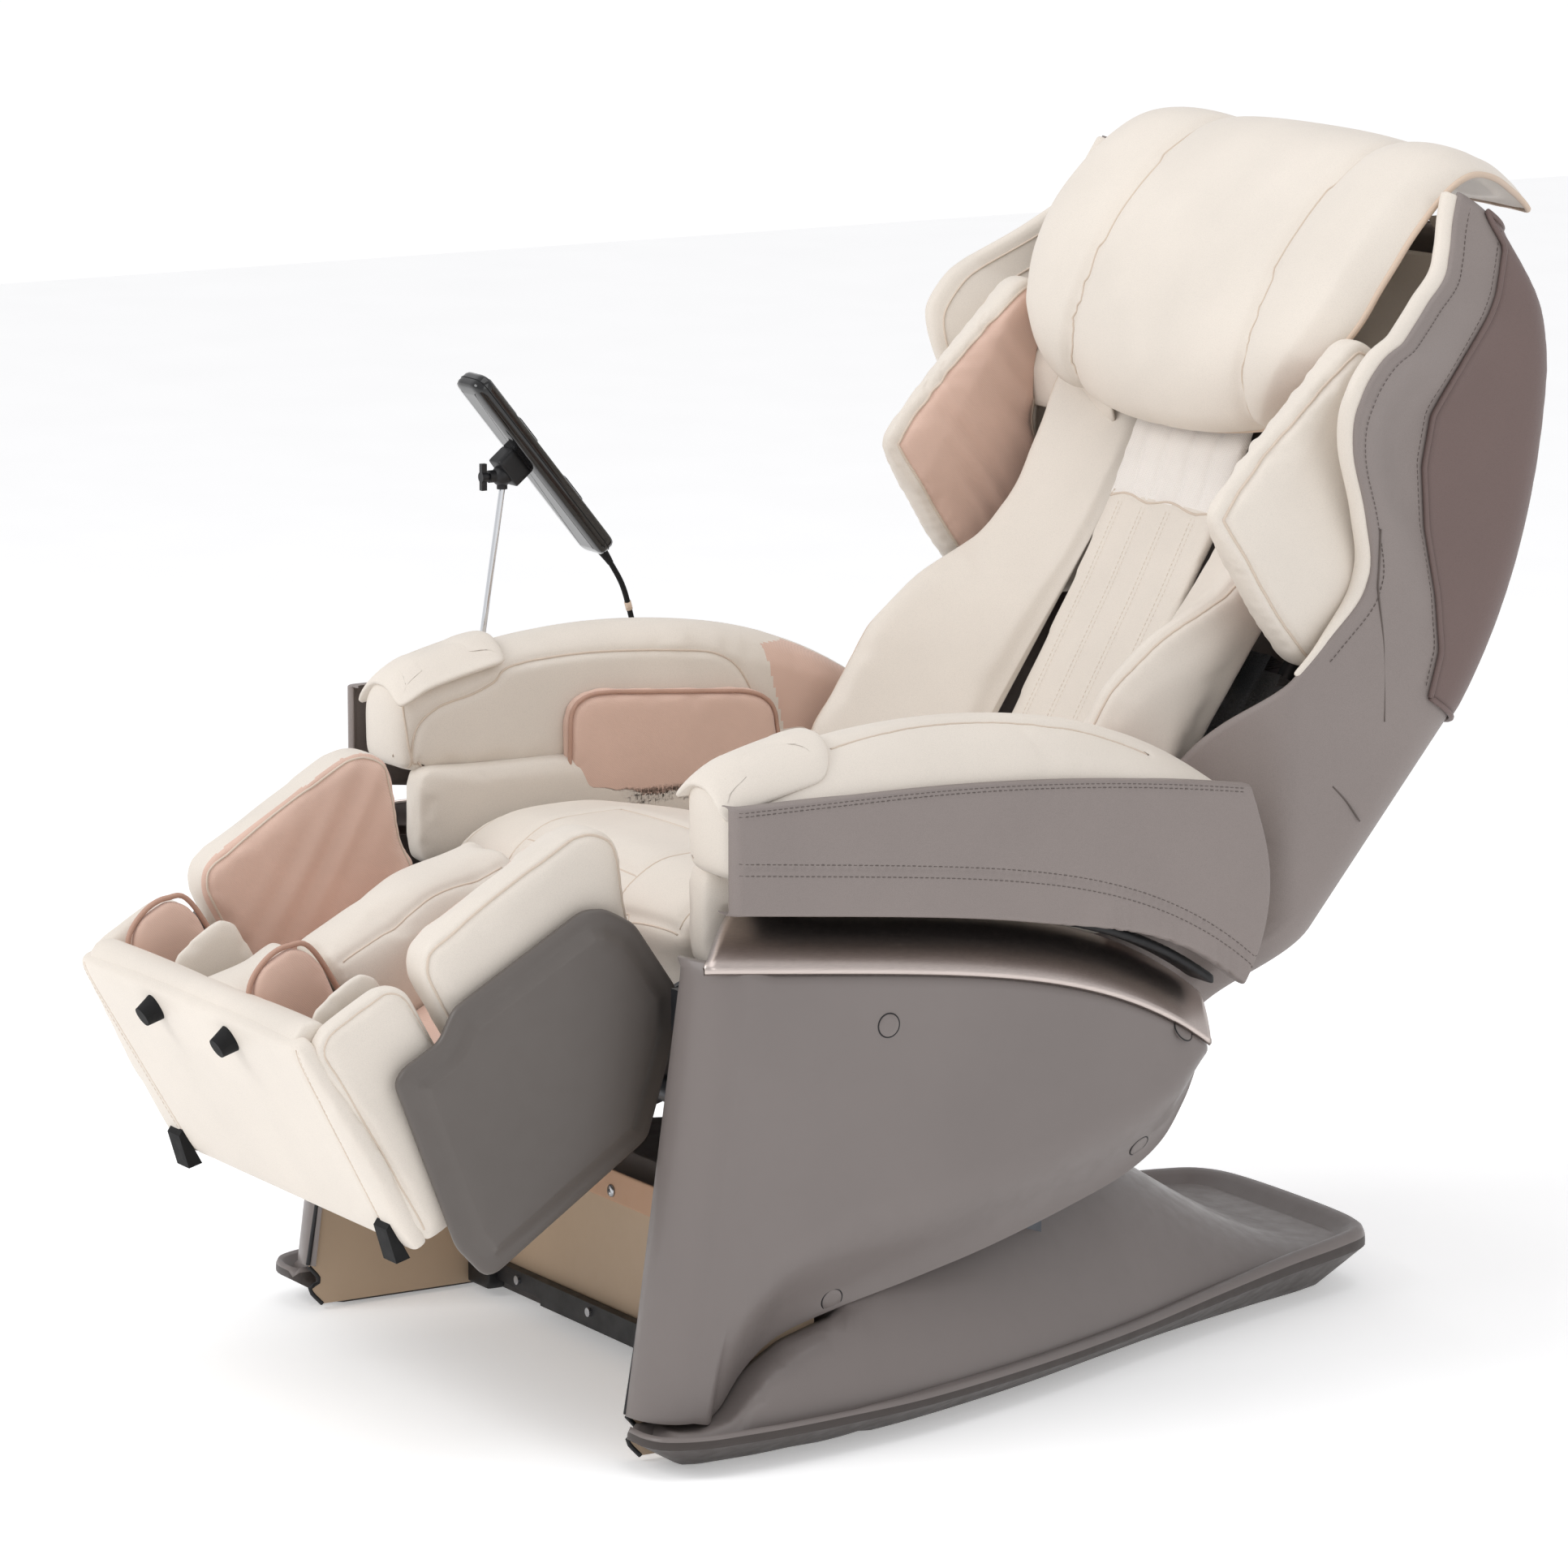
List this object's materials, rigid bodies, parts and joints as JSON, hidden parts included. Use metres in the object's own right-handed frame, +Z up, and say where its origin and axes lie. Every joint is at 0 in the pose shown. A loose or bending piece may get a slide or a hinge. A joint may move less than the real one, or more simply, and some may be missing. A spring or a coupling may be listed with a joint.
{
  "type": "massage chair",
  "caption": "Reclining massage chair with padded back, shoulder wings, armrests, swinging legrest with foot box, and a remote control on a stand.",
  "frame": {"origin": "on the floor, in the chair's middle plane, under the middle of the seat", "axes": "+Z up; the sitter faces -Y; +X is the sitter's left"},
  "size_m": [0.901, 1.5612, 1.2808],
  "materials": {
    "grey_plastic": "satin",
    "metal_trim": "brushed",
    "cream_leather": "soft grain",
    "pink_fabric": "smooth knit",
    "grey_leather": "soft grain",
    "beige_sheet": "satin",
    "black_plastic": "matte",
    "black_rubber": "matte",
    "steel": "satin",
    "chrome": "polished",
    "frame_steel": "satin"
  },
  "bodies": {
    "base": {"base_plate": "grey_plastic", "side_cover_left": "grey_plastic", "side_cover_right": "grey_plastic", "trim_left": "metal_trim", "trim_right": "metal_trim", "screw_caps": "grey_plastic", "front_cover": "beige_sheet", "front_rail": "black_plastic", "frame_screws": "chrome", "seat_frame": "frame_steel", "seat_cushion": "cream_leather", "arm_tracks": "black_plastic", "air_pump": "black_plastic", "power_box": "black_plastic", "back_actuator": "black_plastic", "leg_actuator": "black_plastic"},
    "switch": {"power_switch": "black_plastic"},
    "back": {"back_frame": "frame_steel", "back_shell": "grey_leather", "back_pad_left": "cream_leather", "back_pad_right": "cream_leather", "back_strip": "cream_leather", "wing_left": "cream_leather", "wing_right": "cream_leather", "back_wrap_left": "grey_leather", "back_wrap_right": "grey_leather", "pillow_flap": "cream_leather"},
    "pillow": {"head_pillow": "cream_leather"},
    "carriage": {"carriage": "steel"},
    "axle": {"drive_axle": "steel"},
    "knead_left": {"knead_arm_left": "steel"},
    "knead_right": {"knead_arm_right": "steel"},
    "roller_tl": {"roller_top_left": "black_rubber"},
    "roller_ll": {"roller_low_left": "black_rubber"},
    "roller_tr": {"roller_top_right": "black_rubber"},
    "roller_lr": {"roller_low_right": "black_rubber"},
    "back_rod": {"back_actuator_rod": "chrome"},
    "leg_rod": {"leg_actuator_rod": "chrome"},
    "arm_left": {"armrest_left": "grey_leather", "arm_pad_left": "cream_leather", "hip_pad_left": "pink_fabric"},
    "arm_right": {"armrest_right": "grey_leather", "arm_pad_right": "cream_leather", "hip_pad_right": "pink_fabric", "stand_rod": "chrome", "remote_cord": "black_rubber"},
    "legrest": {"leg_frame": "frame_steel", "calf_pads": "cream_leather", "leg_cover_left": "grey_plastic", "leg_cover_right": "grey_plastic", "air_hose": "black_rubber"},
    "footrest": {"foot_box": "cream_leather", "foot_pads": "pink_fabric", "foot_slides": "chrome", "foot_bumpers": "black_rubber"},
    "clamp": {"stand_clamp": "black_plastic"},
    "knob": {"clamp_knob": "black_plastic"},
    "remote": {"remote": "black_plastic"},
    "key_up": {"key_upper": "black_rubber"},
    "key_down": {"key_lower": "black_rubber"}
  },
  "joints": [
    {"name": "recline", "type": "hinge", "parent": "base", "child": "back", "pos_m": [0, 0.16, 0.42], "axis": [1, 0, 0], "range_deg": [-45, 4]},
    {"name": "back_rod_slide", "type": "slide", "parent": "base", "child": "back_rod", "axis": [0, 1, 0], "range_m": [-0.0845, 0.0076]},
    {"name": "arm_left_slide", "type": "slide", "parent": "base", "child": "arm_left", "axis": [0, 0.9945, -0.1045], "range_m": [-0.0054, 0.0602]},
    {"name": "arm_right_slide", "type": "slide", "parent": "base", "child": "arm_right", "axis": [0, 0.9945, -0.1045], "range_m": [-0.0054, 0.0602]},
    {"name": "legrest_swing", "type": "hinge", "parent": "base", "child": "legrest", "pos_m": [0, -0.37, 0.46], "axis": [1, 0, 0], "range_deg": [-24, 45]},
    {"name": "leg_rod_slide", "type": "slide", "parent": "base", "child": "leg_rod", "axis": [0, 1, 0], "range_m": [-0.0397, 0.0743]},
    {"name": "foot_slide", "type": "slide", "parent": "legrest", "child": "footrest", "axis": [0, -0.8746, -0.4848], "range_m": [0, 0.07], "deforming": ["air_hose"]},
    {"name": "pillow_flip", "type": "hinge", "parent": "back", "child": "pillow", "pos_m": [0, 0.58516, 1.25279], "axis": [1, 0, 0], "range_deg": [-110, 0]},
    {"name": "carriage_slide", "type": "slide", "parent": "back", "child": "carriage", "axis": [0, 0.5446, 0.8387], "range_m": [-0.16, 0.22]},
    {"name": "axle_spin", "type": "hinge", "parent": "carriage", "child": "axle", "pos_m": [0, 0.46802, 0.68499], "axis": [1, 0, 0], "range_deg": [-615, 845]},
    {"name": "knead_left_swing", "type": "hinge", "parent": "carriage", "child": "knead_left", "pos_m": [0.07, 0.42652, 0.67617], "axis": [0, 0.8387, -0.5446], "range_deg": [-12, 12]},
    {"name": "knead_right_swing", "type": "hinge", "parent": "carriage", "child": "knead_right", "pos_m": [-0.07, 0.42652, 0.67617], "axis": [0, 0.8387, -0.5446], "range_deg": [-12, 12]},
    {"name": "roller_tl_spin", "type": "hinge", "parent": "knead_left", "child": "roller_tl", "pos_m": [0.07, 0.41962, 0.74266], "axis": [1, 0, 0], "continuous": true},
    {"name": "roller_ll_spin", "type": "hinge", "parent": "knead_left", "child": "roller_ll", "pos_m": [0.07, 0.36297, 0.65544], "axis": [1, 0, 0], "continuous": true},
    {"name": "roller_tr_spin", "type": "hinge", "parent": "knead_right", "child": "roller_tr", "pos_m": [-0.07, 0.41962, 0.74266], "axis": [1, 0, 0], "continuous": true},
    {"name": "roller_lr_spin", "type": "hinge", "parent": "knead_right", "child": "roller_lr", "pos_m": [-0.07, 0.36297, 0.65544], "axis": [1, 0, 0], "continuous": true},
    {"name": "stand_swivel", "type": "hinge", "parent": "arm_right", "child": "clamp", "pos_m": [-0.434, -0.178, 0.9], "axis": [0, 0, 1], "range_deg": [-60, 60], "deforming": ["remote_cord"]},
    {"name": "remote_tilt", "type": "hinge", "parent": "clamp", "child": "remote", "pos_m": [-0.434, -0.178, 0.9], "axis": [1, 0, 0], "range_deg": [-15, 15], "deforming": ["remote_cord"]},
    {"name": "knob_turn", "type": "hinge", "parent": "clamp", "child": "knob", "pos_m": [-0.434, -0.178, 0.9], "axis": [0, -1, 0], "range_deg": [0, 360]},
    {"name": "key_up_press", "type": "slide", "parent": "remote", "child": "key_up", "axis": [0, 0.7771, 0.6293], "range_m": [-0.0015, 0], "stiffness_N_per_m": 300, "springref_m": 0.0004},
    {"name": "key_down_press", "type": "slide", "parent": "remote", "child": "key_down", "axis": [0, 0.7771, 0.6293], "range_m": [-0.0015, 0], "stiffness_N_per_m": 300, "springref_m": 0.0004},
    {"name": "switch_rock", "type": "hinge", "parent": "base", "child": "switch", "pos_m": [0.103, 0.226, 0.068], "axis": [1, 0, 0], "range_deg": [-10, 10]}
  ],
  "couplings": [
    {"joint": "back_rod_slide", "follows": "recline", "m_per_rad": 0.107},
    {"joint": "arm_left_slide", "follows": "recline", "m_per_rad": -0.0764},
    {"joint": "arm_right_slide", "follows": "recline", "m_per_rad": -0.0764},
    {"joint": "leg_rod_slide", "follows": "legrest_swing", "m_per_rad": 0.0945},
    {"joint": "axle_spin", "follows": "carriage_slide", "rad_per_m": 66.667},
    {"joint": "knead_right_swing", "follows": "knead_left_swing", "ratio": -1}
  ]
}
